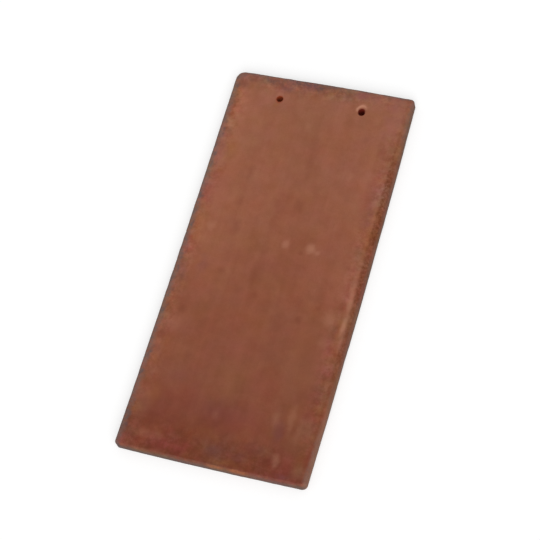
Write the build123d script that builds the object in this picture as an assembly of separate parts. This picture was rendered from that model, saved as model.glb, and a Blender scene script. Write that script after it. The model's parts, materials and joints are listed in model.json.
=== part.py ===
from build123d import *

import math
import os

# Eaves starter tile: one flat clay shingle, fired in one piece.
# It lies with its weather face up. X runs across the tile, Y from the foot to the
# nailed head, and Z up from the middle of the underside. All sizes in millimetres.

# Overall size, over the fullest point of each edge
tile_width = 173.4
tile_length = 381.0
tile_thickness = 12.7

# The long edges have a soft top shoulder: how far it reaches in, and how far it falls
right_shoulder_width = 6.0
right_shoulder_drop = 3.4
left_shoulder_width = 4.0
left_shoulder_drop = 1.0

# Bow of each edge in plan at its middle: above zero it swells, below zero it is hollow
right_bow = 1.6
left_bow = -1.1
head_bow = 0.65
foot_bow = 0.65

# Rounding of the four corners in plan
head_left_corner = 8.6
head_right_corner = 2.7
foot_right_corner = 4.6
foot_left_corner = 3.4

# Rounding of the arrises round the weather face and round the underside
upper_arris = 1.8
lower_arris = 1.0

# Nail holes, punched through from the weather face
nail_hole_diameter = 5.7
nail_hole_spacing = 78.8
nail_holes_off_centre = 0.8
nail_holes_from_head = 23.5
nail_hole_lip = 0.9
nail_hole_underside_bevel = 0.5

# How far a cutting shape runs past the face that it cuts
overrun = 2.0


def bowed_edge(start, end, bow):
    """An edge of the outline, drawn anticlockwise, so that outwards is to its right."""
    along = (end - start).normalized()
    outwards = Vector(along.Y, -along.X)
    if abs(bow) < 0.01:
        return Line(start, end)
    return ThreePointArc(start, (start + end) / 2 + outwards * bow, end)


def plan_outline():
    """The tile seen from above: four bowed edges and four unequal rounded corners."""
    right = tile_width / 2 - max(right_bow, 0)
    left = -tile_width / 2 + max(left_bow, 0)
    head = tile_length / 2 - max(head_bow, 0)
    foot = -tile_length / 2 + max(foot_bow, 0)
    foot_left = Vector(left, foot)
    foot_right = Vector(right, foot)
    head_right = Vector(right, head)
    head_left = Vector(left, head)

    edges = [
        bowed_edge(foot_left, foot_right, foot_bow),
        bowed_edge(foot_right, head_right, right_bow),
        bowed_edge(head_right, head_left, head_bow),
        bowed_edge(head_left, foot_left, left_bow),
    ]
    outline = make_face(Curve() + edges)

    corners = [
        (foot_left, foot_left_corner),
        (foot_right, foot_right_corner),
        (head_right, head_right_corner),
        (head_left, head_left_corner),
    ]
    for corner, radius in corners:
        outline = fillet(outline.vertices().sort_by_distance(corner)[0], radius)
    return outline


def shoulder(side, width, drop):
    """Arc that leaves the flat weather face level and falls by drop at the tile's side.

    It runs on past the side, so that the outline alone decides where the tile ends.
    """
    radius = (width**2 + drop**2) / (2 * drop)
    slope_at_side = math.asin(width / radius)
    slope_at_end = (slope_at_side + math.pi / 2) / 2
    crest = tile_width / 2 - width

    def on_arc(slope):
        x = crest + radius * math.sin(slope)
        z = tile_thickness - radius * (1 - math.cos(slope))
        return Vector(side * x, z)

    return ThreePointArc(on_arc(0), on_arc(slope_at_end / 2), on_arc(slope_at_end))


def cross_section():
    """The clay ribbon as it leaves the die, before it is cut to the outline."""
    right = shoulder(1, right_shoulder_width, right_shoulder_drop)
    left = shoulder(-1, left_shoulder_width, left_shoulder_drop)
    underside_right = Vector((right @ 1).X, 0)
    underside_left = Vector((left @ 1).X, 0)
    edges = [
        Line(left @ 0, right @ 0),
        right,
        Line(right @ 1, underside_right),
        Line(underside_right, underside_left),
        Line(underside_left, left @ 1),
        left,
    ]
    return make_face(Curve() + edges)


def clay_blank():
    """The ribbon cut to the outline, with its arrises rubbed round."""
    ribbon = extrude(Plane.XZ * cross_section(), tile_length / 2 + overrun, both=True)
    cutter = extrude(Pos(0, 0, -overrun) * plan_outline(), tile_thickness + 2 * overrun)
    blank = (ribbon & cutter).solid()

    walls = blank.faces().filter_by(lambda face: abs(face.normal_at().Z) < 0.1)
    upper_rim = walls.edges().filter_by(lambda edge: edge.center().Z > 0.7 * tile_thickness)
    blank = blank.fillet(upper_arris, upper_rim)
    lower_rim = blank.faces().sort_by(Axis.Z)[0].edges()
    return blank.fillet(lower_arris, lower_rim)


def nail_hole(side):
    """Cutter for one nail hole: a straight bore, a drawn-in lip above, a bevel below."""
    radius = nail_hole_diameter / 2
    lip_start = tile_thickness - nail_hole_lip
    lip_middle = Vector(
        radius + nail_hole_lip * (1 - math.cos(math.pi / 4)),
        lip_start + nail_hole_lip * math.sin(math.pi / 4),
    )
    lip_end = Vector(radius + nail_hole_lip, tile_thickness)
    bevel_end = Vector(radius + nail_hole_underside_bevel + overrun, -overrun)
    bore_foot = Vector(radius, nail_hole_underside_bevel)
    bore_head = Vector(radius, lip_start)
    above = Vector(lip_end.X, tile_thickness + overrun)
    profile = make_face(
        Curve()
        + [
            Polyline((0, -overrun), bevel_end, bore_foot, bore_head),
            ThreePointArc(bore_head, lip_middle, lip_end),
            Polyline(lip_end, above, (0, above.Y), (0, -overrun)),
        ]
    )
    x = nail_holes_off_centre + side * nail_hole_spacing / 2
    y = tile_length / 2 - nail_holes_from_head
    return Pos(x, y, 0) * revolve(Plane.XZ * profile, Axis.Z)


tile_body = clay_blank() - [nail_hole(-1), nail_hole(1)]

os.makedirs("parts", exist_ok=True)
export_step(tile_body, "parts/tile_body.step")
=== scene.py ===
import json
import math

import bpy
import numpy as np
from mathutils import Matrix, Vector, noise


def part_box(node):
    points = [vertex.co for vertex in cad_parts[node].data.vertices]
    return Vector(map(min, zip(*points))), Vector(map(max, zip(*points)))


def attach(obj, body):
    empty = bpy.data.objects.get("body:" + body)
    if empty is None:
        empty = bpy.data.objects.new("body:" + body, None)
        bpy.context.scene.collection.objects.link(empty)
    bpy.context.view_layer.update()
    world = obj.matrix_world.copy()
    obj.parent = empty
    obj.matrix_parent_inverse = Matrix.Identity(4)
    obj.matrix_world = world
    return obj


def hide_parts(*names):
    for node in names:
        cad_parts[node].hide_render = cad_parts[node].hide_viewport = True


# Eaves starter tile: one slab of unglazed fired clay, weather face up.
# The frame gives its size and its nail holes. This script gives it the uneven skin,
# the worn arrises and the colours of the real tile, with shade and light painted in at places.
# Lengths are in metres.

MM = 0.001

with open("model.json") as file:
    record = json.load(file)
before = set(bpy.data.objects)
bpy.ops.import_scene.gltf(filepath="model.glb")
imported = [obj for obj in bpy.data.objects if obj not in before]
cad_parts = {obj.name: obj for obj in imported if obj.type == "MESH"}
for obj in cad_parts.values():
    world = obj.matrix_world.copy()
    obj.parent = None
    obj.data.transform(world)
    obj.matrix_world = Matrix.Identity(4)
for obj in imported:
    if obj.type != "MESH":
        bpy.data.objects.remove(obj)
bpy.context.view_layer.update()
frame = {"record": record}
tile_low, tile_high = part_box("tile_body")
tile_width = tile_high.x - tile_low.x
tile_length = tile_high.y - tile_low.y

# Form of the slab, as in the frame. A shoulder is given by its reach and its drop
RIGHT_SHOULDER = (6.0 * MM, 3.4 * MM)
LEFT_SHOULDER = (4.0 * MM, 1.0 * MM)
UPPER_ARRIS = 1.8 * MM
LOWER_ARRIS = 1.0 * MM
HOLE_LIP = 0.9 * MM
HOLE_BEVEL = 0.5 * MM
# Edges, anticlockwise: the way outwards in degrees, the bow at the middle, and the
# rounding of the corner where the edge starts
EDGES = (
    ("foot", -90, 0.65 * MM, 3.4 * MM),
    ("right", 0, 1.6 * MM, 4.6 * MM),
    ("head", 90, 0.65 * MM, 2.7 * MM),
    ("left", 180, -1.1 * MM, 8.6 * MM),
)

# Fineness of the mesh: cells across and along the weather face, and rows down a wall
CELLS_ACROSS = 168
CELLS_ALONG = 344
WALL_ROWS = 7
UPPER_ARRIS_ROWS = 5
LOWER_ARRIS_ROWS = 2
# The underside has half as many cells each way, and starts this far in from the arris
UNDERSIDE_MARGIN = 2 * MM
# A nail hole stands in a square block of cells, so many a side. Rings of points lead from
# the block to the lip at these shares of the way, round the lip at these degrees, down
# the bore in so many rows, and from its bevel to the block below at these shares
HOLE_BLOCK = 10
MOUTH_RINGS = (0.3, 0.6, 0.85, 1.0)
LIP_ANGLES = (25, 50, 72, 90)
BORE_ROWS = 6
BEVEL_RINGS = (0.35, 0.7)

# Clay kept free above the skin, so that its high spots end at the tile's full height
SKIN_ALLOWANCE = 0.3 * MM

# Heights of the unevenness: weather face, walls, underside, arrises and nail holes
SLACK_LIE = 0.16 * MM
SOFT_DENTS = 0.05 * MM
DRAG_LINES = 0.035 * MM
SKIN_ROUGHNESS = 0.015 * MM
EDGE_ROUGHNESS = 0.05 * MM
BEAD_HEIGHT = 0.2 * MM
WALL_WAVES = 0.2 * MM
WALL_SETBACK = 0.12 * MM
WALL_LINES = 0.1 * MM
UNDERSIDE_DRAG = 0.3 * MM
LEAST_RUB = 0.08 * MM
ADDED_RUB = 0.36 * MM
BORE_ROUGHNESS = 0.1 * MM
# How far the left and the right nail hole are spalled, from 0 to 1
SPALL_SIZES = (0.1, 1.0)

# Chips of the upper arris: from and to, as shares of the way round the outline from the
# foot-left corner anticlockwise, their number and their usual radius
CHIP_STRETCHES = (
    (0.00, 0.155, 12, 1.3 * MM),
    (0.155, 0.50, 12, 1.3 * MM),
    (0.50, 0.655, 7, 1.0 * MM),
    (0.655, 1.00, 18, 1.3 * MM),
)

# Marks on the weather face: shares across and down, half width and half length in
# millimetres, and strength
PALE_MARKS = (
    (0.547, 0.440, 4.0, 5.6, 0.44),
    (0.682, 0.438, 4.0, 5.4, 0.54),
    (0.720, 0.446, 3.0, 2.6, 0.34),
    (0.131, 0.427, 4.5, 5.0, 0.30),
    (0.875, 0.601, 7.0, 8.0, 0.26),
    (0.875, 0.664, 4.5, 6.0, 0.16),
    (0.899, 0.527, 6.0, 9.0, 0.14),
    (0.477, 0.126, 3.4, 4.5, 0.16),
    (0.773, 0.240, 3.4, 4.0, 0.12),
    (0.835, 0.853, 3.6, 14.0, 0.20),
    (0.760, 0.860, 3.4, 10.0, 0.16),
    (0.884, 0.880, 3.4, 11.0, 0.14),
    (0.816, 0.955, 3.2, 7.5, 0.30),
    (0.460, 0.881, 4.0, 5.0, 0.14),
    (0.085, 0.809, 3.0, 3.5, 0.16),
    (0.147, 0.959, 13.0, 3.6, 0.14),
    (0.125, 0.340, 12.0, 22.0, 0.18),
    (0.110, 0.460, 8.0, 12.0, 0.12),
    (0.115, 0.690, 8.0, 9.0, 0.18),
    (0.070, 0.885, 9.0, 15.0, 0.20),
    (0.790, 0.026, 9.0, 4.5, 0.18),
    (0.900, 0.018, 10.0, 4.0, 0.22),
    (0.930, 0.870, 7.0, 14.0, 0.14),
    (0.950, 0.972, 8.0, 7.0, 0.18),
    (0.955, 0.616, 2.3, 11.0, 0.66),
)
DARK_MARKS = (
    (0.542, 0.193, 5.5, 22.0, 0.20),
    (0.564, 0.244, 6.5, 16.0, 0.16),
    (0.249, 0.272, 3.5, 8.0, 0.20),
    (0.241, 0.348, 3.5, 9.0, 0.22),
    (0.262, 0.420, 5.0, 8.0, 0.28),
    (0.551, 0.338, 5.0, 8.0, 0.22),
    (0.636, 0.455, 3.0, 2.4, 0.24),
    (0.429, 0.537, 3.5, 14.0, 0.18),
    (0.262, 0.535, 3.5, 3.5, 0.20),
    (0.471, 0.581, 3.5, 4.0, 0.20),
    (0.725, 0.620, 3.4, 3.8, 0.36),
    (0.806, 0.581, 3.0, 2.4, 0.22),
    (0.125, 0.649, 4.5, 4.5, 0.30),
    (0.233, 0.760, 5.0, 6.0, 0.18),
    (0.500, 0.866, 3.5, 5.0, 0.18),
    (0.591, 0.853, 3.0, 5.5, 0.18),
    (0.142, 0.924, 14.0, 8.0, 0.26),
    (0.333, 0.985, 3.0, 3.4, 0.62),
    (0.215, 0.985, 14.0, 3.0, 0.30),
    (0.460, 0.979, 10.0, 4.0, 0.26),
    (0.634, 0.982, 10.0, 3.2, 0.34),
    (0.778, 0.962, 3.2, 2.6, 0.42),
    (0.910, 0.979, 8.0, 3.0, 0.30),
    (0.061, 0.968, 3.0, 4.0, 0.30),
    (0.046, 0.035, 5.0, 5.0, 0.30),
    (0.112, 0.020, 6.0, 3.0, 0.30),
    (0.390, 0.034, 6.0, 7.0, 0.22),
    (0.430, 0.936, 8.0, 6.0, 0.20),
    (0.690, 0.946, 11.0, 8.0, 0.16),
    (0.830, 0.953, 4.5, 5.0, 0.10),
    (0.370, 0.470, 15.0, 50.0, 0.08),
    (0.385, 0.755, 14.0, 26.0, 0.11),
    (0.840, 0.715, 14.0, 13.0, 0.09),
    (0.620, 0.958, 18.0, 9.0, 0.10),
)
# Larger patches where the clay is duller and browner, redder, ochre, purple or mauve
DULL_PATCHES = (
    (0.450, 0.152, 26.0, 40.0, 0.35),
    (0.133, 0.051, 12.0, 10.0, 0.45),
    (0.818, 0.710, 20.0, 40.0, 0.50),
    (0.889, 0.902, 12.0, 24.0, 0.50),
    (0.470, 0.801, 16.0, 20.0, 0.35),
    (0.092, 0.568, 8.0, 20.0, 0.30),
    (0.460, 0.973, 14.0, 8.0, 0.50),
    (0.085, 0.030, 14.0, 8.0, 0.90),
    (0.035, 0.640, 7.0, 110.0, 0.45),
    (0.050, 0.825, 8.0, 16.0, 0.70),
    (0.180, 0.945, 10.0, 8.0, 0.50),
    (0.935, 0.020, 8.0, 6.0, 0.70),
)
RED_PATCHES = (
    (0.092, 0.335, 14.0, 26.0, 0.45),
    (0.905, 0.304, 8.0, 24.0, 0.35),
    (0.925, 0.175, 8.5, 27.0, 0.65),
    (0.925, 0.345, 6.0, 9.0, 0.50),
    (0.940, 0.622, 6.0, 7.0, 0.70),
    (0.712, 0.016, 10.0, 4.5, 0.95),
    (0.276, 0.842, 22.0, 18.0, 0.25),
    (0.613, 0.882, 26.0, 18.0, 0.40),
    (0.664, 0.791, 16.0, 16.0, 0.30),
    (0.245, 0.975, 7.0, 5.0, 0.60),
    (0.325, 0.978, 6.0, 5.0, 0.90),
    (0.873, 0.962, 7.0, 10.0, 0.75),
    (0.972, 0.935, 4.0, 12.0, 0.60),
)
OCHRE_PATCHES = (
    (0.115, 0.222, 6.0, 8.0, 0.40),
    (0.080, 0.430, 6.0, 17.0, 0.60),
    (0.262, 0.078, 4.0, 3.5, 0.70),
    (0.050, 0.410, 6.0, 10.0, 0.35),
    (0.115, 0.862, 8.0, 9.0, 0.42),
    (0.935, 0.940, 5.0, 12.0, 0.22),
    (0.835, 0.850, 9.0, 12.0, 0.28),
    (0.440, 0.930, 12.0, 7.0, 0.38),
    (0.580, 0.985, 14.0, 3.5, 0.80),
    (0.120, 0.030, 8.0, 6.0, 0.60),
    (0.955, 0.420, 4.0, 36.0, 0.40),
    (0.945, 0.632, 4.0, 22.0, 0.70),
    (0.060, 0.790, 5.0, 8.0, 0.20),
)
PURPLE_PATCHES = (
    (0.300, 0.034, 9.0, 4.5, 0.60),
    (0.440, 0.014, 12.0, 4.0, 0.40),
    (0.925, 0.345, 6.0, 9.0, 0.30),
    (0.050, 0.036, 8.0, 9.0, 0.50),
    (0.045, 0.180, 5.0, 12.0, 0.25),
    (0.200, 0.810, 20.0, 12.0, 0.22),
    (0.500, 0.870, 28.0, 12.0, 0.22),
    (0.500, 0.965, 9.0, 6.0, 0.70),
    (0.640, 0.965, 6.0, 5.0, 0.45),
    (0.790, 0.890, 5.0, 10.0, 0.40),
    (0.870, 0.988, 8.0, 3.0, 0.70),
    (0.150, 0.530, 5.0, 11.0, 0.40),
    (0.060, 0.570, 5.0, 14.0, 0.35),
    (0.060, 0.725, 5.0, 12.0, 0.30),
    (0.930, 0.310, 5.0, 10.0, 0.35),
    (0.030, 0.500, 3.0, 12.0, 0.40),
    (0.970, 0.620, 3.5, 6.0, 0.30),
    (0.040, 0.550, 6.0, 10.0, 0.25),
    (0.690, 0.942, 10.0, 8.0, 0.22),
)
MAUVE_PATCHES = (
    (0.925, 0.075, 11.0, 26.0, 0.95),
    (0.715, 0.018, 10.0, 4.5, 0.90),
    (0.820, 0.036, 15.0, 7.0, 0.60),
    (0.050, 0.240, 8.0, 22.0, 0.95),
    (0.055, 0.755, 7.0, 9.0, 0.50),
)
# Stretches of the foot's arris that are rubbed to fresh clay: from and to, as shares
# across, and strength
FOOT_RUBS = (
    (0.485, 0.575, 0.75),
    (0.600, 0.700, 0.90),
    (0.100, 0.190, 0.25),
)

rng = np.random.default_rng(1907)


# Small helpers

def smooth(low, high, value):
    """0 at low, 1 at high and an S curve between them; low may be the larger of the two."""
    share = np.clip((value - low) / (high - low), 0, 1)
    return share * share * (3 - 2 * share)


def lumps(points, size, octaves=2, seed=0):
    """Noise of about -1 to 1 with lumps of about size metres; size may differ by axis."""
    shift = Vector((17.3, -5.1, 9.7)) * (seed + 1)
    scale = np.broadcast_to(1 / np.asarray(size, float), (3,))
    scaled = points * scale
    values = [noise.fractal(Vector(place) + shift, 1.0, 2.0, octaves) for place in scaled]
    return np.array(values)


def graded(count):
    """count + 1 places from 0 to 1, closer together near both ends."""
    middles = (np.arange(count) + 0.5) / count
    cells_from_end = np.minimum(middles, 1 - middles) * count
    # half as long at the ends, and nearly of full length from the twentieth on
    steps = 1 - 0.5 * np.exp(-cells_from_end / 9)
    places = np.concatenate([[0], np.cumsum(steps)])
    return places / places[-1]


def from_head(y):
    """Place along the tile as a share of its length, from 0 at the head to 1 at the foot."""
    return (tile_high.y - y) / tile_length


def from_left(x):
    """Place across the tile as a share of its width, from 0 at the left to 1 at the right."""
    return (x - tile_low.x) / tile_width


def with_height(plan, height):
    """Points of a plan, raised to a height or each to its own."""
    return np.column_stack([plan, np.broadcast_to(height, len(plan))])


# Form of the slab

def weather_height(x):
    """Height of the weather face: level, with a soft shoulder falling to each side."""
    height = np.full_like(x, tile_high.z - SKIN_ALLOWANCE)
    for side, (reach, drop) in ((1, RIGHT_SHOULDER), (-1, LEFT_SHOULDER)):
        radius = (reach**2 + drop**2) / (2 * drop)
        # measured from the crest, and limited a little past the side
        past_crest = np.clip(side * x - (tile_width / 2 - reach), 0, reach * 1.2)
        height -= radius - np.sqrt(radius**2 - np.minimum(past_crest, radius) ** 2)
    return height


def edge_directions(degrees):
    """Outward and anticlockwise directions of an edge, and how far it lies and runs."""
    angle = math.radians(degrees)
    outwards = np.array([math.cos(angle), math.sin(angle)])
    along = np.array([-outwards[1], outwards[0]])
    half_size = np.array([tile_width, tile_length]) / 2
    return outwards, along, abs(outwards @ half_size), abs(along @ half_size)


def insets(plan):
    """How far in from each bowed edge the points of a plan lie."""
    found = {}
    for name, degrees, bow, _ in EDGES:
        outwards, along, reach, half_run = edge_directions(degrees)
        way = plan @ along / half_run
        edge = reach - max(bow, 0) + bow * (1 - way**2)
        found[name] = edge - plan @ outwards
    return found


def edge_line(number, cells):
    """One edge of the outline, from corner middle to corner middle, anticlockwise.

    Returns its points and their outward directions, without the last one.
    """
    _, degrees, bow, start_radius = EDGES[number]
    end_radius = EDGES[(number + 1) % 4][3]
    facing, along, reach, half_run = edge_directions(degrees)
    reach -= max(bow, 0)
    bow_before = max(EDGES[number - 1][2], 0)
    bow_after = max(EDGES[(number + 1) % 4][2], 0)
    start = facing * reach - along * (half_run - bow_before)
    end = facing * reach + along * (half_run - bow_after)

    # Each point's way along half a corner, the straight and half the next corner
    half_turn = math.pi / 4
    start_arc = start_radius * half_turn
    straight = np.linalg.norm(end - start) - start_radius - end_radius
    total = start_arc + straight + end_radius * half_turn
    way = graded(cells)[:-1] * total
    on_start = way < start_arc
    on_end = way > start_arc + straight
    turn = np.zeros(cells)
    turn[on_start] = way[on_start] / start_radius - half_turn
    turn[on_end] = (way[on_end] - start_arc - straight) / end_radius
    angle = math.radians(degrees)
    outwards = np.column_stack([np.cos(angle + turn), np.sin(angle + turn)])

    start_centre = start + start_radius * (along - facing)
    end_centre = end - end_radius * (along + facing)
    points = start_centre + start_radius * facing + np.outer(way - start_arc, along)
    points[on_start] = start_centre + start_radius * outwards[on_start]
    points[on_end] = end_centre + end_radius * outwards[on_end]
    points += np.outer(bow * (1 - (2 * way / total - 1) ** 2), facing)
    return points, outwards


def outline():
    """The whole outline, anticlockwise from the foot-left corner's middle."""
    cells = (CELLS_ACROSS, CELLS_ALONG, CELLS_ACROSS, CELLS_ALONG)
    lines = [edge_line(number, cells[number]) for number in range(4)]
    points = np.concatenate([line for line, _ in lines])
    outwards = np.concatenate([directions for _, directions in lines])
    return points, outwards


def fill_border(border, across, along):
    """Points of a grid that meets the closed border, blended in from its four sides."""
    closed = np.concatenate([border, border[:1]])
    foot = closed[: across + 1]
    right = closed[across : across + along + 1]
    head = closed[across + along : 2 * across + along + 1][::-1]
    left = closed[2 * across + along :][::-1]
    to_right = graded(across)[:, None, None]
    to_head = graded(along)[None, :, None]
    to_left = 1 - to_right
    to_foot = 1 - to_head
    between_ends = to_foot * foot[:, None] + to_head * head[:, None]
    between_sides = to_left * left[None] + to_right * right[None]
    corners = (
        to_left * to_foot * foot[0] + to_right * to_foot * foot[-1]
        + to_right * to_head * head[-1] + to_left * to_head * head[0]
    )
    return between_ends + between_sides - corners


def border_cells(across, along):
    """Grid places round the border, in the outline's order."""
    foot = [(i, 0) for i in range(across)]
    right = [(across, j) for j in range(along)]
    head = [(across - i, along) for i in range(across)]
    left = [(0, along - j) for j in range(along)]
    return np.array(foot + right + head + left)


def border_of(numbers):
    """Point numbers round the border of a grid, in the outline's order."""
    places = border_cells(numbers.shape[0] - 1, numbers.shape[1] - 1)
    return numbers[places[:, 0], places[:, 1]]


class Skin:
    """The tile's closed surface while it is put together.

    Each point carries its normal and how much it belongs to an arris, to a wall, to
    the underside and to a nail hole, from 0 to 1.
    """

    def __init__(self):
        self.points = []
        self.normals = []
        self.rim = []
        self.wall = []
        self.under = []
        self.bore = []
        self.faces = []

    def add(self, points, normals, rim=0.0, wall=0.0, under=0.0, bore=0.0):
        """Adds points with their normals and returns their numbers."""
        first = len(self.points)
        count = len(points)
        self.points.extend(points)
        self.normals.extend(np.broadcast_to(normals, (count, 3)))
        self.rim.extend(np.broadcast_to(rim, count))
        self.wall.extend(np.broadcast_to(wall, count))
        self.under.extend(np.broadcast_to(under, count))
        self.bore.extend(np.broadcast_to(bore, count))
        return np.arange(first, first + count)

    def band(self, one, other):
        """Joins two closed rings of equally many points; other lies outside or below one."""
        after = np.roll(np.arange(len(one)), -1)
        self.faces.extend(np.column_stack([one, other, other[after], one[after]]).tolist())

    def grid(self, numbers, blocks, upwards):
        """Faces of a grid, but for the cells of the nail holes' blocks."""
        for i in range(numbers.shape[0] - 1):
            for j in range(numbers.shape[1] - 1):
                if any(0 <= i - a < HOLE_BLOCK and 0 <= j - b < HOLE_BLOCK for a, b in blocks):
                    continue
                near_side = [numbers[i, j], numbers[i + 1, j]]
                far_side = [numbers[i + 1, j + 1], numbers[i, j + 1]]
                face = near_side + far_side
                self.faces.append(face if upwards else face[::-1])


def add_weather_face(skin, line, outwards):
    """Points of the weather face, inside its arris. Returns its plan and their numbers."""
    plan = fill_border(line - outwards * UPPER_ARRIS, CELLS_ACROSS, CELLS_ALONG)
    flat = plan.reshape(-1, 2)
    numbers = skin.add(with_height(flat, weather_height(flat[:, 0])), (0, 0, 1))
    return plan, numbers.reshape(plan.shape[:2])


def add_upper_arris(skin, line, outwards, ring):
    """Rounded arris from the weather face's ring to the top of the wall. Returns its end."""
    for turn in np.linspace(0, math.pi / 2, UPPER_ARRIS_ROWS + 1)[1:]:
        plan = line - outwards * UPPER_ARRIS * (1 - math.sin(turn))
        height = weather_height(plan[:, 0]) - UPPER_ARRIS * (1 - math.cos(turn))
        normals = with_height(outwards * math.sin(turn), math.cos(turn))
        rim = math.sin(2 * turn)
        below = skin.add(with_height(plan, height), normals, rim=rim, wall=1 - math.cos(turn))
        skin.band(ring, below)
        ring = below
    return ring


def add_wall(skin, line, outwards, ring):
    """Upright wall from a ring at its top down to the lower arris. Returns its end."""
    top = weather_height(line[:, 0]) - UPPER_ARRIS
    for part in np.linspace(0, 1, WALL_ROWS + 1)[1:]:
        height = top * (1 - part) + LOWER_ARRIS * part
        below = skin.add(with_height(line, height), with_height(outwards, 0), wall=1)
        skin.band(ring, below)
        ring = below
    return ring


def add_lower_arris(skin, line, outwards, ring):
    """Rounded arris from the foot of the wall to the bed. Returns its end."""
    for turn in np.linspace(0, math.pi / 2, LOWER_ARRIS_ROWS + 1)[1:]:
        plan = line - outwards * LOWER_ARRIS * (1 - math.cos(turn))
        height = LOWER_ARRIS * (1 - math.sin(turn))
        normals = with_height(outwards * math.cos(turn), -math.sin(turn))
        below = skin.add(with_height(plan, height), normals, rim=math.sin(2 * turn), wall=1)
        skin.band(ring, below)
        ring = below
    return ring


def add_underside(skin, line, outwards, ring):
    """Points of the underside, joined to the lower arris by five-sided faces."""
    coarse = (line - outwards * (LOWER_ARRIS + UNDERSIDE_MARGIN))[::2]
    plan = fill_border(coarse, CELLS_ACROSS // 2, CELLS_ALONG // 2)
    numbers = skin.add(with_height(plan.reshape(-1, 2), 0), (0, 0, -1), under=1)
    numbers = numbers.reshape(plan.shape[:2])
    border = border_of(numbers)
    for k in range(len(border)):
        fine = ring[[2 * k, 2 * k + 1, (2 * k + 2) % len(ring)]]
        after = border[(k + 1) % len(border)]
        skin.faces.append([border[k], fine[0], fine[1], fine[2], after])
    return plan, numbers


def nail_holes():
    """Centre and radius of each nail hole, from the frame's record."""
    bores = [m for m in frame["record"]["mounts"] if m["kind"] == "bore"]
    return [(np.array(m["pos_m"][:2]), m["dims"]["r_mm"] * MM) for m in bores]


def block_round(plan, centre):
    """Lowest grid place of the square block of cells that has centre in its middle."""
    distance = np.linalg.norm(plan - centre, axis=2)
    i, j = np.unravel_index(np.argmin(distance), distance.shape)
    return i - HOLE_BLOCK // 2, j - HOLE_BLOCK // 2


def add_bore(skin, hole, upper_block, lower_block):
    """The mouth, wall and lower mouth of one nail hole, between its two blocks of cells."""
    centre, radius = hole
    count = 4 * HOLE_BLOCK
    # a block's border starts at its foot-left corner
    angles = np.arange(count) / count * 2 * math.pi - 3 * math.pi / 4
    spokes = np.column_stack([np.cos(angles), np.sin(angles)])
    upper = np.array([skin.points[k] for k in upper_block])
    lower = np.array([skin.points[k] for k in lower_block])
    lip_radius = radius + HOLE_LIP
    bevel_radius = radius + HOLE_BEVEL
    rings = [upper_block]

    for part in MOUTH_RINGS:
        plan = upper[:, :2] * (1 - part) + (centre + spokes * lip_radius) * part
        rings.append(skin.add(with_height(plan, weather_height(plan[:, 0])), (0, 0, 1)))
    for turn in np.radians(LIP_ANGLES):
        plan = centre + spokes * (lip_radius - HOLE_LIP * math.sin(turn))
        height = weather_height(plan[:, 0]) - HOLE_LIP * (1 - math.cos(turn))
        normals = with_height(-spokes * math.sin(turn), math.cos(turn))
        rings.append(skin.add(with_height(plan, height), normals, bore=math.sin(turn)))
    top = tile_high.z - SKIN_ALLOWANCE - HOLE_LIP
    for height in np.linspace(top, HOLE_BEVEL, BORE_ROWS + 1)[1:]:
        plan = centre + spokes * radius
        rings.append(skin.add(with_height(plan, height), with_height(-spokes, 0), bore=1))

    down = (0, 0, -1)
    bevel = with_height(centre + spokes * bevel_radius, 0)
    rings.append(skin.add(bevel, down, under=1, bore=0.5))
    for part in BEVEL_RINGS:
        plan = (centre + spokes * bevel_radius) * (1 - part) + lower[:, :2] * part
        rings.append(skin.add(with_height(plan, 0), down, under=1))
    rings.append(lower_block)
    for one, other in zip(rings, rings[1:]):
        skin.band(other, one)


def plain_skin():
    """The slab before wear: weather face, rim, underside and nail holes, closed."""
    skin = Skin()
    line, outwards = outline()
    face, face_numbers = add_weather_face(skin, line, outwards)
    ring = add_upper_arris(skin, line, outwards, border_of(face_numbers))
    ring = add_wall(skin, line, outwards, ring)
    ring = add_lower_arris(skin, line, outwards, ring)
    base, base_numbers = add_underside(skin, line, outwards, ring)

    face_blocks = []
    base_blocks = []
    side = HOLE_BLOCK + 1
    for hole in nail_holes():
        i, j = block_round(face, hole[0])
        face_blocks.append((i, j))
        upper = border_of(face_numbers[i : i + side, j : j + side])
        i, j = block_round(base, hole[0])
        base_blocks.append((i, j))
        lower = border_of(base_numbers[i : i + side, j : j + side])
        add_bore(skin, hole, upper, lower)
    skin.grid(face_numbers, face_blocks, upwards=True)
    skin.grid(base_numbers, base_blocks, upwards=False)
    return skin


# Wear and unevenness

class Places:
    """Where each point of the skin lies, and what several kinds of wear have in common.

    up and sideways say how much a point faces that way, outside the nail holes. across
    and down are shares of the width and length from the head-left corner. inset is the
    distance in from each edge.
    """

    def __init__(self, skin):
        self.points = np.array(skin.points)
        self.normals = np.array(skin.normals)
        self.rim = np.array(skin.rim)
        self.wall = np.array(skin.wall)
        self.under = np.array(skin.under)
        self.bore = np.array(skin.bore)
        self.up = np.clip(self.normals[:, 2], 0, 1) * (1 - self.bore)
        self.sideways = np.clip(1 - np.abs(self.normals[:, 2]), 0, 1) * (1 - self.bore)
        self.height = self.points[:, 2]
        self.across = from_left(self.points[:, 0])
        self.down = from_head(self.points[:, 1])
        self.inset = insets(self.points[:, :2])
        self.nearest = np.minimum.reduce(list(self.inset.values()))
        self.ragged = lumps(self.points, 5 * MM, 3, seed=21)
        self.sway = 0.9 * MM * lumps(self.points, 9 * MM, 2, seed=24)
        self.rubbed = smooth(-0.5, 0.9, lumps(self.points, 11 * MM, 3, seed=7))
        self.bead = right_bead(self)


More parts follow.
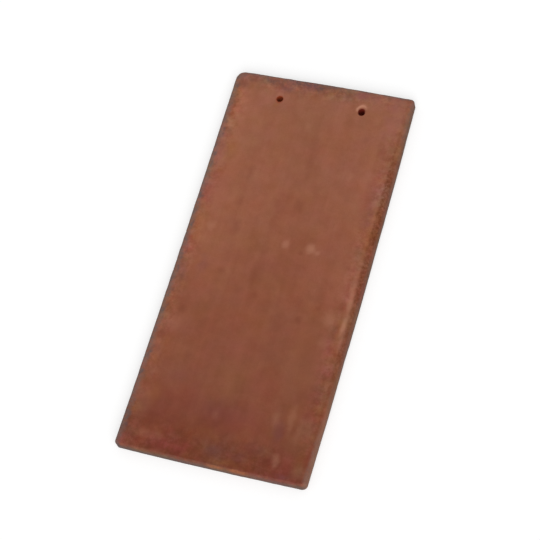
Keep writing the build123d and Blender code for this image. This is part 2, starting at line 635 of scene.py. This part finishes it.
def right_bead(at):
    """Soft broken ridge along the inner edge of the right shoulder, from 0 to 1."""
    crest = tile_width / 2 - (9.0 - 3.0 * smooth(0.44, 0.70, at.down)) * MM
    wander = 0.6 * MM * lumps(at.points, 34 * MM, 2, seed=8)
    ridge = np.exp(-(((at.points[:, 0] - crest - wander) / (2.6 * MM)) ** 2)) * at.up
    stretch = smooth(0.41, 0.56, at.down) * (1 - smooth(0.62, 0.69, at.down))
    broken = smooth(-1.0, 0.4, lumps(at.points, (16 * MM, 14 * MM, 1), 3, seed=9))
    return ridge * broken * stretch


def marks(at, table, sway=1):
    """Soft ragged spots of the weather face, added up from a table of marks."""
    total = np.zeros(len(at.points))
    for across, down, half_width, half_length, strength in table:
        off_x = at.points[:, 0] - tile_low.x - across * tile_width + sway * at.sway
        off_y = tile_high.y - at.points[:, 1] - down * tile_length + sway * at.sway
        distance = np.hypot(off_x / (half_width * MM), off_y / (half_length * MM))
        total += strength * smooth(1.45, 0.05, distance + 0.25 * at.ragged)
    return total * at.up


def relief(at):
    """How far each point rises along its normal, before chips and spalls."""
    # Weather face: slack lie of the clay, drag lines left by the die, and a skin that
    # is rougher near the edges
    rise = at.up * SLACK_LIE * lumps(at.points, 75 * MM, 2, seed=1)
    rise += at.up * SOFT_DENTS * lumps(at.points, 14 * MM, 2, seed=2)
    rise += at.up * DRAG_LINES * lumps(at.points, (4 * MM, 130 * MM, 1), 2, seed=3)
    roughness = SKIN_ROUGHNESS + EDGE_ROUGHNESS * smooth(16 * MM, 3 * MM, at.nearest)
    rise += at.up * roughness * lumps(at.points, 2.6 * MM, 2, seed=4)
    rise += BEAD_HEIGHT * at.bead

    # Walls: cut by a wire and handled while soft
    waves = WALL_WAVES * lumps(at.points, 38 * MM, 2, seed=5)
    lines = WALL_LINES * lumps(at.points, (5 * MM, 5 * MM, 1.6 * MM), 2, seed=6)
    rise += at.sideways * (waves - WALL_SETBACK + lines)

    # Underside: dragged along its bed
    hollow = smooth(2 * MM, 9 * MM, at.nearest) * at.under
    dragged = smooth(-0.6, 0.8, lumps(at.points, (9 * MM, 60 * MM, 1), 3, seed=10))
    rise -= hollow * UNDERSIDE_DRAG * dragged

    # Arrises: rubbed back unevenly
    rise -= at.rim * (LEAST_RUB + ADDED_RUB * at.rubbed)
    return rise


def chip_list():
    """Bites out of the upper arris: place in plan, radius and depth."""
    line, outwards = outline()
    chips = []
    for start, stop, number, size in CHIP_STRETCHES:
        for way in rng.uniform(start, stop, number):
            k = int(way * len(line)) % len(line)
            radius = size * rng.uniform(0.5, 1.5)
            depth = radius * rng.uniform(0.12, 0.3)
            chips.append((line[k] - outwards[k] * rng.uniform(0, 0.6) * MM, radius, depth))
    return chips


def chipped(at):
    """How far the chips move each point, and how much fresh clay they bare.

    Each chip takes clay off towards the middle of the slab, within an uneven ball.
    """
    shift = np.zeros_like(at.points)
    bared = np.zeros(len(at.points))
    for plan, radius, depth in chip_list():
        centre = np.array([plan[0], plan[1], tile_high.z - SKIN_ALLOWANCE - 0.4 * MM])
        near = np.linalg.norm((at.points - centre) * (1, 1, 0.8), axis=1) / radius
        uneven = near + 0.25 * np.sin(at.points[:, 0] * 2900 + at.points[:, 1] * 2300)
        bite = np.clip(1 - uneven**2, 0, 1) * (near < 1.3)
        inwards = -centre / np.linalg.norm(centre[:2])
        inwards[2] = -0.8
        shift += np.outer(bite * depth, inwards)
        bared = np.maximum(bared, 0.25 * smooth(0.05, 0.5, bite))
    return shift, bared


def spall(at, crumbled, hole, size):
    """Crater on the head's side of a nail hole: its depth, its pale rim of fresh clay with a
    painted highlight, and a painted shadow in its throat.
    """
    # near is 1 along the crater's edge
    centre, radius = hole
    offset = at.points[:, :2] - centre
    near = np.linalg.norm((offset - (-0.3 * MM, 2.6 * MM)) / (1.0, 1.1), axis=1)
    near = near / (radius + (0.6 + 1.2 * size) * MM) + crumbled
    sink = smooth(1.0, 0.4, near) * at.up * (0.3 + 0.7 * size) * MM

    # the pale rim on the head side is fresh clay with a painted highlight where the crater's
    # slope faces the light
    away = np.maximum(np.linalg.norm(offset, axis=1), 0.1 * MM)
    head_side = smooth(0.15, 0.9, offset @ (-0.42, 0.91) / away)
    pale = smooth(1.25, 0.98, near) * smooth(0.55, 0.85, near) * head_side * at.up

    # painted shadow: the throat takes the bore's dark colour on the face round the hole's
    # mouth
    throat_centre = (-0.3 * MM * size, (1.8 * size - 0.8) * MM)
    throat = np.linalg.norm((offset - throat_centre) / (1.0, 1.15), axis=1)
    dark = smooth(radius + (1.5 - 0.5 * size) * MM, radius - 0.1 * MM, throat)
    return sink, pale * size, dark * (0.6 + 0.4 * size)


def spalled(at):
    """The craters of both nail holes: their depth, their pale rims of fresh clay with painted
    highlight, and their painted throat shadows.
    """
    crumbled = 0.1 * lumps(at.points, 3 * MM, 2, seed=12)
    left, right = [
        spall(at, crumbled, hole, size) for hole, size in zip(nail_holes(), SPALL_SIZES)
    ]
    return left[0] + right[0], np.maximum(left[1], right[1]), np.maximum(left[2], right[2])


def fresh_places(at, bared):
    """Fresh clay: rubbed and chipped arrises, and orange stretches of the foot's arris."""
    fresh = np.maximum(0.12 * at.rim * at.rubbed, bared)
    foot_arris = smooth(1.8 * MM, 0.6 * MM, at.inset["foot"] + 0.5 * MM * at.ragged)
    foot_arris *= smooth(5 * MM, 9 * MM, at.height)
    for start, stop, strength in FOOT_RUBS:
        here = smooth(start - 0.02, start + 0.03, at.across)
        here *= smooth(stop + 0.02, stop - 0.03, at.across)
        fresh = np.maximum(fresh, foot_arris * here * strength)
    return fresh


def pale_places(at, crescents):
    """Pale marks, the rubbed bead, the right rim and wall, and the holes' crescents, which are
    fresh clay with a painted highlight.
    """
    lower_part = smooth(0.62, 0.92, at.down)
    wall = at.wall * smooth(1.6 * MM, 0.4 * MM, at.inset["right"])
    rim = smooth(4 * MM, -0.5 * MM, at.inset["right"] + 0.6 * MM * at.ragged)
    rim *= (1 - at.under) * (0.36 + 0.16 * at.ragged)
    return np.maximum.reduce([
        marks(at, PALE_MARKS),
        at.bead * 0.52,
        wall * (0.12 + 0.36 * lower_part),
        rim * lower_part,
        crescents,
    ])


def burnt_places(at):
    """Dark brown along the right shoulder, down to two thirds, and near the foot."""
    patchy = 0.8 + 0.35 * lumps(at.points, (9 * MM, 22 * MM, 1), 2, seed=22)
    width = (6.6 - 1.4 * smooth(0.36, 0.62, at.down)) * MM
    shoulder = smooth(1.3 * MM, -1.3 * MM, at.inset["right"] - width + 0.8 * MM * at.ragged)
    shoulder *= 0.35 + 0.65 * smooth(0.1, 0.25, at.down)
    shoulder *= 1 - 0.7 * smooth(0.63, 0.82, at.down)
    foot = smooth(34 * MM, 6 * MM, at.inset["foot"] + 5 * MM * at.ragged)
    foot *= 0.45 * smooth(-0.05, 0.35, at.across)
    return np.maximum(shoulder, foot) * patchy * (1 - at.wall)


def grime_and_shade_places(at):
    """Grey bloom on the rim, thick at the left and the right edge's ends, and painted shade
    low on the walls.
    """
    arris = smooth(2.4 * MM, 0.3 * MM, at.nearest + 0.6 * MM * at.ragged) * (1 - at.wall)
    head = smooth(4 * MM, 1 * MM, at.inset["head"] + 0.6 * MM * at.ragged) * (1 - at.wall)
    head *= 0.35 + 0.2 * smooth(0.3, 0.1, at.across) + 0.34 * smooth(0.6, 0.9, at.across)
    left = smooth(8 * MM, 1.5 * MM, at.inset["left"] + 0.9 * MM * at.ragged)
    left *= smooth(6.5 * MM, 9.5 * MM, at.height + 1.2 * MM * at.ragged)
    right = smooth(4.5 * MM, 1 * MM, at.inset["right"] + 0.6 * MM * at.ragged)
    right *= smooth(0.20, 0.06, at.down) + smooth(0.80, 0.94, at.down)
    from_corner = np.hypot(at.inset["left"], at.inset["head"])
    corner = smooth(15 * MM, 6 * MM, from_corner + 2 * MM * at.ragged)
    # painted shade: darker low on every wall and on the foot's wall, towards the floor
    low_wall = smooth(8 * MM, 2.5 * MM, at.height + 1.2 * MM * at.ragged) * at.wall
    foot_wall = smooth(15 * MM, 3 * MM, at.height + 1.2 * MM * at.ragged)
    foot_wall *= smooth(1.6 * MM, 0.6 * MM, at.inset["foot"])
    return np.maximum.reduce([
        arris * 0.3,
        head,
        left * 0.72,
        right * 0.5,
        corner * 0.45,
        low_wall * 0.75,
        foot_wall * 0.6,
    ]) * (1 - at.under)


def soot_and_shadow_places(at):
    """Soot along the head, in specks at the left, and a painted shadow low on the foot's wall.
    """
    specks = smooth(0.1, 0.6, lumps(at.points, (3.4 * MM, 5 * MM, 1), 2, seed=23))
    left = smooth(10 * MM, 2 * MM, at.inset["left"]) * specks * 0.8
    clouds = 0.9 + 0.5 * lumps(at.points, (14 * MM, 6 * MM, 1), 2, seed=25)
    head = smooth(16 * MM, 3 * MM, at.inset["head"] + 1.5 * MM * at.ragged) * clouds
    head *= 0.24 + 0.32 * smooth(0.80, 0.45, at.across) * smooth(0.0, 0.3, at.across)
    # painted shadow low on the foot's wall: on its left half and towards its right end
    foot_wall = at.wall * smooth(3 * MM, 0.5 * MM, at.inset["foot"])
    foot_wall *= smooth(0.58, 0.44, at.across) + 0.6 * smooth(0.80, 0.90, at.across)
    foot_wall *= 0.55 * smooth(9 * MM, 3 * MM, at.height + 1.5 * MM * at.ragged)
    return np.maximum.reduce([left, head, foot_wall]) * (1 - at.under)


def mottled_places(at):
    """Places near the edges, where the clay's hue is livelier."""
    return np.maximum.reduce([
        smooth(24 * MM, 4 * MM, at.inset["left"]),
        smooth(26 * MM, 8 * MM, at.inset["right"]) * 0.8,
        smooth(26 * MM, 4 * MM, at.inset["head"]),
        smooth(42 * MM, 8 * MM, at.inset["foot"]),
        smooth(120 * MM, 50 * MM, at.inset["foot"]) * 0.15,
    ])


def wear_skin(skin):
    """Moves the skin to its worn shape. Returns its points and the masks of its colours."""
    at = Places(skin)
    shift, bared = chipped(at)
    sink, crescents, throat_shadows = spalled(at)
    moved = at.points + at.normals * relief(at)[:, None] + shift
    moved[:, 2] -= sink
    bore_rise = BORE_ROUGHNESS * lumps(at.points, 2.5 * MM, 2, seed=13) * at.bore
    moved[:, :2] += bore_rise[:, None] * at.normals[:, :2]
    moved = np.clip(moved, np.array(tile_low), np.array(tile_high))

    masks = {
        "fresh": fresh_places(at, bared),
        "pale": pale_places(at, crescents),
        "dark": marks(at, DARK_MARKS),
        "dull": marks(at, DULL_PATCHES, sway=3),
        "red": marks(at, RED_PATCHES, sway=3),
        "ochre": marks(at, OCHRE_PATCHES, sway=3),
        "purple": marks(at, PURPLE_PATCHES, sway=3),
        "mauve": marks(at, MAUVE_PATCHES, sway=3),
        "mottled": mottled_places(at),
        "burnt": burnt_places(at),
        "soot_and_shadow": soot_and_shadow_places(at),
        "grime_and_shade": grime_and_shade_places(at),
        "wall": at.wall,
        "under": at.under,
        # the throats are painted shadow in the holes' mouths
        "bore": np.maximum(at.bore, throat_shadows),
        # painted light: the left nail hole is paler inside
        "lit_left_bore": smooth(1 * MM, -1 * MM, at.points[:, 0]),
    }
    return moved, {name: np.clip(mask, 0, 1) for name, mask in masks.items()}


def build_tile():
    """The tile as one closed mesh, with its colour masks as attributes."""
    skin = plain_skin()
    points, masks = wear_skin(skin)
    # the grids' points inside the nail holes' blocks belong to no face and are left out
    used = np.unique(np.concatenate([np.array(face) for face in skin.faces]))
    renumber = np.full(len(points), -1)
    renumber[used] = np.arange(len(used))
    faces = [[int(renumber[k]) for k in face] for face in skin.faces]
    mesh = bpy.data.meshes.new("tile_clay")
    mesh.from_pydata(points[used].tolist(), [], faces)
    for name, mask in masks.items():
        attribute = mesh.attributes.new(name, "FLOAT", "POINT")
        attribute.data.foreach_set("value", mask[used])
    mesh.shade_smooth()
    mesh.validate()
    tile = bpy.data.objects.new("tile_clay", mesh)
    bpy.context.scene.collection.objects.link(tile)
    return tile


# Material

# Colours are as an eye would read them off a swatch, 0 to 255.
# Weather face: share of the way from head to foot, and colour
FACE_TONES = (
    (0.00, (144, 90, 68)),
    (0.30, (142, 86, 64)),
    (0.48, (139, 83, 61)),
    (0.62, (134, 78, 57)),
    (0.80, (127, 73, 53)),
    (0.97, (116, 61, 45)),
)
# The two colours between which a noise drifts
WALL_TONES = ((110, 70, 53), (132, 86, 65))
UNDERSIDE_TONES = ((128, 74, 52), (152, 96, 72))
# Nail holes, painted shade and light: dark at the throat, paler further down, where the colour
# lightens the bore's own shadow
SHADED_BORE_TONES = ((88, 20, 8), (140, 44, 16))
# painted light: paler tones for the left nail hole
LIT_LEFT_BORE_TONES = ((134, 56, 28), (180, 80, 36))
# Laid over these by the mesh's masks: mask, colour, strength, and whether the grain
# breaks it up
LAYERS = (
    ("dull", (128, 84, 56), 0.55, False),
    ("red", (138, 60, 56), 0.50, False),
    ("ochre", (144, 90, 48), 0.55, False),
    ("purple", (104, 66, 72), 0.60, False),
    ("mauve", (147, 90, 82), 0.60, False),
    ("burnt", (100, 50, 26), 0.75, True),
    ("dark", (96, 40, 26), 0.85, False),
    ("soot_and_shadow", (79, 64, 67), 0.9, True),
    ("grime_and_shade", (105, 92, 87), 0.9, True),
    ("pale", (182, 128, 104), 0.75, False),
    ("fresh", (158, 96, 64), 0.8, True),
)
CLAY_SPECULAR = 0.12
CLAY_ROUGHNESS = (0.78, 0.92)
# Sizes of the noises
CLOUD_SIZE = 60 * MM
RED_DRIFT_SIZE = 30 * MM
OCHRE_DRIFT_SIZE = 36 * MM
STREAK_SIZE = (11 * MM, 140 * MM, 20 * MM)
BLOTCH_SIZE = 14 * MM
SPECKLE_SIZE = 8 * MM
BREAKING_SIZE = 2.4 * MM
GRAIN_SIZE = 1.5 * MM
FINE_SIZE = 0.5 * MM
# How dark and how pale the noises shade the clay, as factors
STREAK_SHADE = (0.96, 1.04)
BLOTCH_SHADE = (0.935, 1.065)
SPECKLE_SHADE = (0.76, 1.24)
GRAIN_SHADE = (0.975, 1.025)
FINE_SHADE = (0.96, 1.04)
# Bump of the grain
BUMP_HEIGHT = 0.2 * MM
BUMP_STRENGTH = 0.7


def srgb(colour):
    """A colour of 0 to 255 as a shader socket takes it."""
    def linear(channel):
        share = channel / 255
        return share / 12.92 if share <= 0.04045 else ((share + 0.055) / 1.055) ** 2.4

    return tuple(linear(channel) for channel in colour) + (1,)


class Nodes:
    """Short calls that build one node tree."""

    def __init__(self, tree):
        self.tree = tree
        tree.nodes.clear()

    def add(self, kind, inputs=None, **settings):
        """A new node with its settings, and with its inputs linked or set."""
        node = self.tree.nodes.new(kind)
        for name, value in settings.items():
            setattr(node, name, value)
        for key, value in (inputs or {}).items():
            self.feed(node.inputs[key], value)
        return node

    def feed(self, socket, value):
        if isinstance(value, bpy.types.NodeSocket):
            self.tree.links.new(value, socket)
        else:
            socket.default_value = value

    def math(self, operation, a, b=0.0):
        return self.add("ShaderNodeMath", {0: a, 1: b}, operation=operation).outputs[0]

    def vector(self, operation, a, b):
        return self.add("ShaderNodeVectorMath", {0: a, 1: b}, operation=operation).outputs[0]

    def mask(self, name):
        """A mask that the mesh carries, by its name."""
        return self.add("ShaderNodeAttribute", attribute_name=name).outputs["Fac"]

    def step(self, value, low, high, bottom=0.0, top=1.0):
        """Smooth step from bottom to top, as value goes from low to high."""
        node = self.add("ShaderNodeMapRange", {
            "Value": value,
            "From Min": low,
            "From Max": high,
            "To Min": bottom,
            "To Max": top,
        }, interpolation_type="SMOOTHSTEP")
        return node.outputs["Result"]

    def noise(self, place, size, detail=3.0, roughness=0.55, seed=0.0):
        """Noise of 0 to 1 with lumps of about size metres; size may differ by axis."""
        size = np.broadcast_to(np.asarray(size, float), (3,))
        scaled = self.vector("MULTIPLY", place, tuple(1 / size))
        shifted = self.vector("ADD", scaled, (seed * 7.3, seed * 3.1, seed * 11.7))
        inputs = {"Vector": shifted, "Scale": 1.0, "Detail": detail, "Roughness": roughness}
        return self.add("ShaderNodeTexNoise", inputs).outputs["Fac"]

    def mix(self, factor, a, b, blend="MIX"):
        """Colour a at a factor of 0, and b laid over it in full at 1."""
        node = self.add("ShaderNodeMix", data_type="RGBA", blend_type=blend, clamp_factor=True)
        self.feed(node.inputs["Factor"], factor)
        self.feed(node.inputs["A"], a)
        self.feed(node.inputs["B"], b)
        return node.outputs["Result"]

    def between(self, factor, tones):
        """Colour that goes from the first of two tones to the second."""
        return self.mix(factor, srgb(tones[0]), srgb(tones[1]))

    def ramp(self, value, stops):
        """Colour read off a row of places and tones."""
        node = self.add("ShaderNodeValToRGB", {"Fac": value})
        elements = node.color_ramp.elements
        while len(elements) < len(stops):
            elements.new(0.5)
        for element, (position, tone) in zip(elements, stops):
            element.position = position
            element.color = srgb(tone)
        return node.outputs["Color"]

    def tint(self, colour, red, green, blue):
        """colour with each channel multiplied by its factor."""
        factors = self.add("ShaderNodeCombineColor", {0: red, 1: green, 2: blue}).outputs[0]
        return self.mix(1.0, colour, factors, "MULTIPLY")

    def shade(self, colour, value, low, high):
        """colour darker or paler by a noise, as clay is: green and blue change the most."""
        factor = self.step(value, 0.25, 0.75, low, high)
        green = self.math("POWER", factor, 1.5)
        blue = self.math("POWER", factor, 1.9)
        return self.tint(colour, factor, green, blue)


def face_colour(nodes, here):
    """Weather face: pinkish brown at the head, darker and redder towards the foot."""
    x, y, _ = nodes.add("ShaderNodeSeparateXYZ", {"Vector": here}).outputs
    down = nodes.math("MULTIPLY", nodes.math("SUBTRACT", tile_high.y, y), 1 / tile_length)
    cloud = nodes.noise(here, CLOUD_SIZE, 3, seed=1)
    drift = nodes.math("MULTIPLY", nodes.math("SUBTRACT", cloud, 0.5), 0.5)
    tone = nodes.ramp(nodes.math("ADD", down, drift), FACE_TONES)
    # the sides are a little paler than the middle, and the left side the most
    across = nodes.math("MULTIPLY", x, 2 / tile_width)
    to_sides = nodes.math("MULTIPLY", nodes.math("MULTIPLY", across, across), 0.10)
    to_right = nodes.math("MULTIPLY", across, 0.033)
    paler = nodes.math("SUBTRACT", nodes.math("ADD", 1.0, to_sides), to_right)
    return nodes.tint(tone, paler, paler, paler)


def mottled_hue(nodes, here, colour):
    """colour drifting between red and brown, and between pink and ochre."""
    red = nodes.noise(here, RED_DRIFT_SIZE, 4, 0.72, seed=7)
    red = nodes.math("SUBTRACT", red, 0.515)
    ochre = nodes.noise(here, OCHRE_DRIFT_SIZE, 4, 0.68, seed=8)
    ochre = nodes.math("SUBTRACT", ochre, 0.5)
    lively = nodes.mask("mottled")
    red = nodes.math("MULTIPLY", red, nodes.step(lively, 0, 1, 0.18, 0.72))
    ochre = nodes.math("MULTIPLY", ochre, nodes.step(lively, 0, 1, 0.55, 1.7))
    return nodes.tint(
        colour,
        nodes.math("ADD", 1.0, red),
        nodes.math("SUBTRACT", 1.0, red),
        nodes.math("SUBTRACT", 1.0, ochre),
    )


def bare_colour(nodes, here, streak, blotch):
    """The clay before its shading, wear and dirt, by the part of the skin."""
    wall = nodes.between(blotch, WALL_TONES)
    underside = nodes.between(streak, UNDERSIDE_TONES)
    colour = nodes.mix(nodes.mask("wall"), face_colour(nodes, here), wall)
    colour = nodes.mix(nodes.mask("under"), colour, underside)
    return mottled_hue(nodes, here, colour)


def worn_colour(nodes, colour, broken):
    """colour with the burnt, rubbed, marked and dirty places, and the painted shade and
    highlights, laid over it.
    """
    for name, tone, strength, is_broken in LAYERS:
        share = nodes.mask(name)
        if is_broken:
            share = nodes.math("MULTIPLY", share, broken)
        colour = nodes.mix(nodes.math("MULTIPLY", share, strength), colour, srgb(tone))
    return colour


def bore_colour(nodes, here):
    """Inside of a nail hole, painted shade and light: dark at its throat, redder and paler
    below, and paler again in the left one.
    """
    _, _, z = nodes.add("ShaderNodeSeparateXYZ", {"Vector": here}).outputs
    # painted: dark near the mouth, paler deeper down against the shadow that falls there
    depth = nodes.step(z, 7 * MM, 1.5 * MM)
    shaded_bore = nodes.between(depth, SHADED_BORE_TONES)
    lit_left_bore = nodes.between(depth, LIT_LEFT_BORE_TONES)
    return nodes.mix(nodes.mask("lit_left_bore"), shaded_bore, lit_left_bore)


def fine_relief(nodes, grain, fine):
    """Bump of grain and pits too fine for the mesh."""
    pits = nodes.step(fine, 0.36, 0.28, 0.0, -0.8)
    height = nodes.math("MULTIPLY", grain, 0.6)
    height = nodes.math("ADD", height, nodes.math("MULTIPLY", fine, 0.35))
    height = nodes.math("ADD", height, pits)
    bump = nodes.add("ShaderNodeBump", {
        "Height": height,
        "Distance": BUMP_HEIGHT,
        "Strength": BUMP_STRENGTH,
    })
    return bump.outputs[0]


def clay_material():
    """Unglazed fired clay with its burnt, rubbed and dirty places, and painted shade and
    light.
    """
    material = bpy.data.materials.new("fired_clay")
    material.use_nodes = True
    nodes = Nodes(material.node_tree)
    here = nodes.add("ShaderNodeTexCoord").outputs["Object"]

    # Lengthwise drag streaks, blotches, speckles and grain, as noises
    streak = nodes.noise(here, STREAK_SIZE, 3, 0.5, seed=2)
    blotch = nodes.noise(here, BLOTCH_SIZE, 4, 0.6, seed=3)
    speckle = nodes.noise(here, SPECKLE_SIZE, 4, 0.75, seed=9)
    grain = nodes.noise(here, GRAIN_SIZE, 4, 0.7, seed=4)
    fine = nodes.noise(here, FINE_SIZE, 3, 0.65, seed=6)
    breaking = nodes.noise(here, BREAKING_SIZE, 4, 0.65, seed=5)
    broken = nodes.step(breaking, 0.3, 0.7, 0.5, 1.4)

    colour = bare_colour(nodes, here, streak, blotch)
    colour = nodes.shade(colour, streak, *STREAK_SHADE)
    colour = nodes.shade(colour, blotch, *BLOTCH_SHADE)
    colour = nodes.shade(colour, grain, *GRAIN_SHADE)
    colour = nodes.shade(colour, fine, *FINE_SHADE)
    speckled = nodes.shade(colour, speckle, *SPECKLE_SHADE)
    colour = nodes.mix(nodes.mask("mottled"), colour, speckled)
    colour = worn_colour(nodes, colour, broken)
    colour = nodes.mix(nodes.mask("bore"), colour, bore_colour(nodes, here))

    shader = nodes.add("ShaderNodeBsdfPrincipled", {
        "Base Color": colour,
        "Roughness": nodes.step(blotch, 0.2, 0.8, *CLAY_ROUGHNESS),
        "Normal": fine_relief(nodes, grain, fine),
    })
    shader.inputs["Specular IOR Level"].default_value = CLAY_SPECULAR
    nodes.add("ShaderNodeOutputMaterial", {"Surface": shader.outputs[0]})
    return material


# Stage, light and camera

# Angles are in degrees, lens and sensor in millimetres
FLOOR_HALF_SIZE = 6.0
FLOOR_PAPER = 0.55
FLOOR_GLOW = 0.47
WORLD_LIGHT = 0.5
KEY_LIGHT = 2.1
KEY_AZIMUTH = 26
KEY_ELEVATION = 50
KEY_SOFTNESS = 60

CAMERA_AIM = Vector((1.29, -4.34, 12.7)) * MM
CAMERA_DISTANCE = 1478.9 * MM
CAMERA_AZIMUTH = 33.75
CAMERA_ELEVATION = 63.15
CAMERA_ROLL = -19.64
CAMERA_LENS = 111.51
CAMERA_SENSOR = 36


def direction(azimuth, elevation):
    """Unit vector towards a place seen at this azimuth and elevation, in degrees."""
    turn = math.radians(azimuth)
    tilt = math.radians(elevation)
    level = math.cos(tilt)
    return Vector((math.sin(turn) * level, -math.cos(turn) * level, math.sin(tilt)))


def seen_directly(nodes):
    """1 for a ray from the camera, a reflection or a clear body, and 0 for light."""
    path = nodes.add("ShaderNodeLightPath")
    seen = nodes.math("MAXIMUM", path.outputs["Is Camera Ray"], path.outputs["Is Glossy Ray"])
    return nodes.math("MAXIMUM", seen, path.outputs["Is Transmission Ray"])


def floor_material():
    """Paper that takes a shadow, with a glow that makes it look white."""
    material = bpy.data.materials.new("white_floor")
    material.use_nodes = True
    nodes = Nodes(material.node_tree)
    grey = (FLOOR_PAPER, FLOOR_PAPER, FLOOR_PAPER, 1)
    paper = nodes.add("ShaderNodeBsdfDiffuse", {"Color": grey})
    strength = nodes.math("MULTIPLY", seen_directly(nodes), FLOOR_GLOW)
    glow = nodes.add("ShaderNodeEmission", {"Color": (1, 1, 1, 1), "Strength": strength})
    both = nodes.add("ShaderNodeAddShader", {0: paper.outputs[0], 1: glow.outputs[0]})
    nodes.add("ShaderNodeOutputMaterial", {"Surface": both.outputs[0]})
    return material


def make_floor():
    """Plain floor that looks white and keeps the tile's shadow."""
    mesh = bpy.data.meshes.new("floor")
    half = FLOOR_HALF_SIZE
    corners = [(-half, -half, 0), (half, -half, 0), (half, half, 0), (-half, half, 0)]
    mesh.from_pydata(corners, [], [(0, 1, 2, 3)])
    mesh.materials.append(floor_material())
    floor = bpy.data.objects.new("floor", mesh)
    bpy.context.scene.collection.objects.link(floor)


def make_surround():
    """Even white surround."""
    world = bpy.data.worlds.new("studio")
    world.use_nodes = True
    bpy.context.scene.world = world
    nodes = Nodes(world.node_tree)
    strength = nodes.step(seen_directly(nodes), 0, 1, WORLD_LIGHT, 1.0)
    white = (1, 1, 1, 1)
    background = nodes.add("ShaderNodeBackground", {"Color": white, "Strength": strength})
    nodes.add("ShaderNodeOutputWorld", {"Surface": background.outputs[0]})


def make_key_light():
    """One wide soft light from the foot's right."""
    sun = bpy.data.lights.new("key", "SUN")
    sun.energy = KEY_LIGHT
    sun.angle = math.radians(KEY_SOFTNESS)
    key = bpy.data.objects.new("key", sun)
    towards_key = direction(KEY_AZIMUTH, KEY_ELEVATION)
    key.rotation_euler = towards_key.to_track_quat("Z", "Y").to_euler()
    bpy.context.scene.collection.objects.link(key)


def make_camera():
    """Camera at the photograph's angle, rolled as the photograph is."""
    back = direction(CAMERA_AZIMUTH, CAMERA_ELEVATION)
    level = Vector((0, 0, 1)).cross(back).normalized()
    upright = back.cross(level)
    roll = math.radians(CAMERA_ROLL)
    right = level * math.cos(roll) + upright * math.sin(roll)
    above = back.cross(right)
    turn = Matrix((right, above, back)).transposed().to_4x4()
    place = CAMERA_AIM + back * CAMERA_DISTANCE
    camera = bpy.data.objects.new("camera", bpy.data.cameras.new("camera"))
    camera.matrix_world = Matrix.Translation(place) @ turn
    camera.data.lens = CAMERA_LENS
    camera.data.sensor_width = CAMERA_SENSOR
    camera.data.clip_start = 0.05
    bpy.context.scene.collection.objects.link(camera)
    bpy.context.scene.camera = camera


tile = build_tile()
tile.data.materials.append(clay_material())
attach(tile, "root")
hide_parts("tile_body")

make_floor()
make_surround()
make_key_light()
make_camera()
bpy.context.scene.view_settings.view_transform = "Standard"
